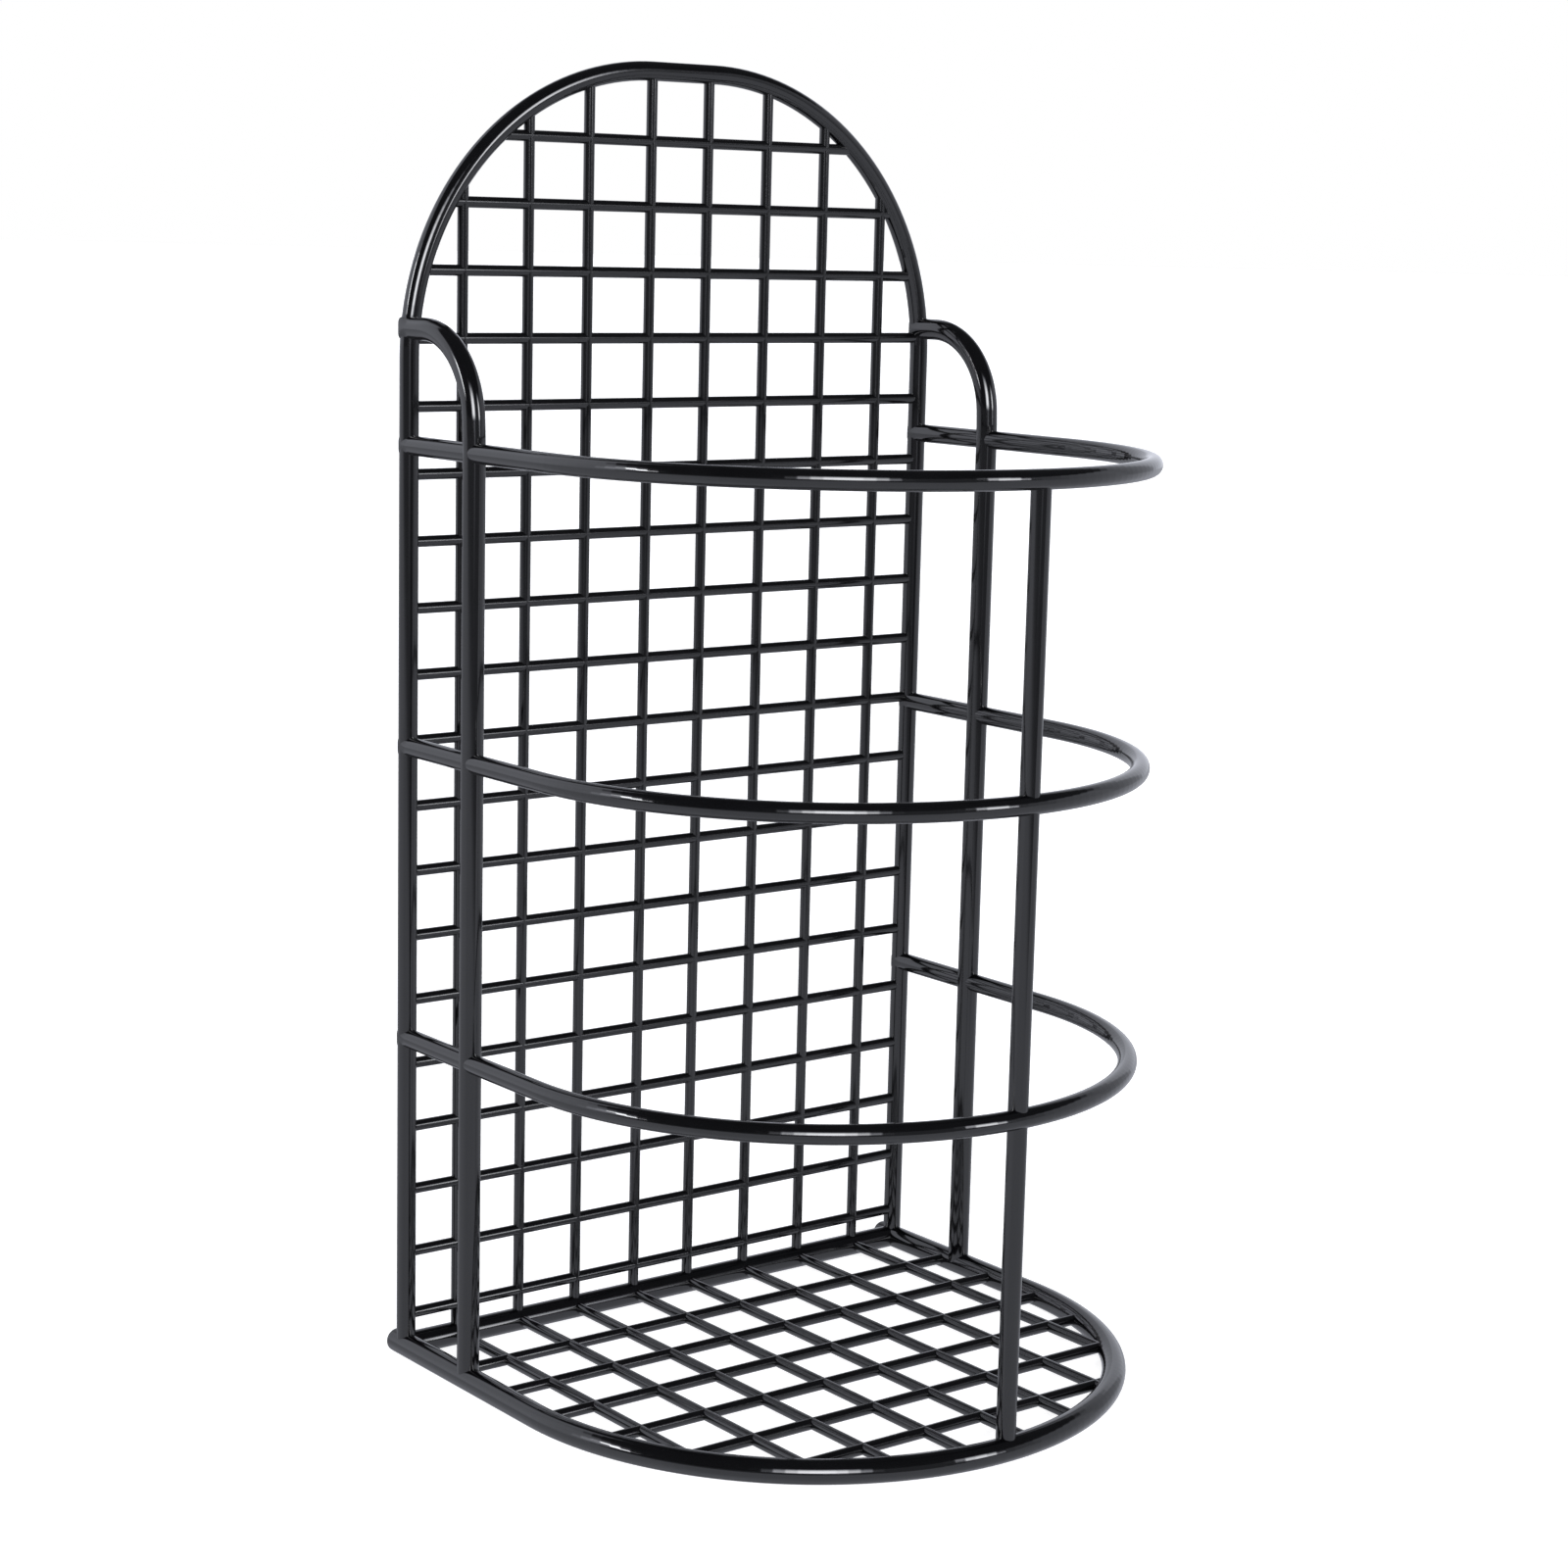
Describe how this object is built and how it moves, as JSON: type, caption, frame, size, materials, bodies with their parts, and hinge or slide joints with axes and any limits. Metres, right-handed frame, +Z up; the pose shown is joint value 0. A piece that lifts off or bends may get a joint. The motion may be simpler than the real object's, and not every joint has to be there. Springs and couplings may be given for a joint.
{
  "type": "wine rack",
  "caption": "Free-standing black wire wine rack with an arched grid back, D-shaped wire floor, front hoops and an open top.",
  "frame": {"origin": "centre of the overall plan, on the surface that the rack stands on", "axes": "+Z up, -Y towards the curved open front, +X to the right seen from the front"},
  "size_m": [0.2774, 0.2466, 0.5425],
  "materials": {
    "coated_rod": "gloss black powder coat on round steel rod",
    "coated_wire": "gloss black powder coat on round steel wire"
  },
  "bodies": {
    "root": {"back_frame": "coated_rod", "base_ring": "coated_rod", "base_back_bar": "coated_rod", "side_rod_left": "coated_rod", "side_rod_right": "coated_rod", "front_rod_lower": "coated_rod", "front_rod_middle": "coated_rod", "front_rod_upper": "coated_rod", "hoop_lower": "coated_rod", "hoop_lower_arm_left": "coated_rod", "hoop_lower_arm_right": "coated_rod", "hoop_middle": "coated_rod", "hoop_middle_arm_left": "coated_rod", "hoop_middle_arm_right": "coated_rod", "hoop_upper": "coated_rod", "hoop_upper_arm_left": "coated_rod", "hoop_upper_arm_right": "coated_rod", "grid_vertical_1": "coated_wire", "grid_vertical_2": "coated_wire", "grid_vertical_3": "coated_wire", "grid_vertical_4": "coated_wire", "grid_vertical_5": "coated_wire", "grid_vertical_6": "coated_wire", "grid_vertical_7": "coated_wire", "grid_vertical_8": "coated_wire", "grid_horizontal_01": "coated_wire", "grid_horizontal_02": "coated_wire", "grid_horizontal_03": "coated_wire", "grid_horizontal_04": "coated_wire", "grid_horizontal_05": "coated_wire", "grid_horizontal_06": "coated_wire", "grid_horizontal_07": "coated_wire", "grid_horizontal_08": "coated_wire", "grid_horizontal_09": "coated_wire", "grid_horizontal_10": "coated_wire", "grid_horizontal_11": "coated_wire", "grid_horizontal_12": "coated_wire", "grid_horizontal_13": "coated_wire", "grid_horizontal_14": "coated_wire", "grid_horizontal_15": "coated_wire", "grid_horizontal_16": "coated_wire", "grid_horizontal_17": "coated_wire", "grid_horizontal_18": "coated_wire", "grid_horizontal_19": "coated_wire", "floor_depth_wire_1": "coated_wire", "floor_depth_wire_2": "coated_wire", "floor_depth_wire_3": "coated_wire", "floor_depth_wire_4": "coated_wire", "floor_depth_wire_5": "coated_wire", "floor_depth_wire_6": "coated_wire", "floor_depth_wire_7": "coated_wire", "floor_depth_wire_8": "coated_wire", "floor_cross_wire_1": "coated_wire", "floor_cross_wire_2": "coated_wire", "floor_cross_wire_3": "coated_wire", "floor_cross_wire_4": "coated_wire", "floor_cross_wire_5": "coated_wire", "floor_cross_wire_6": "coated_wire"}
  },
  "joints": []
}
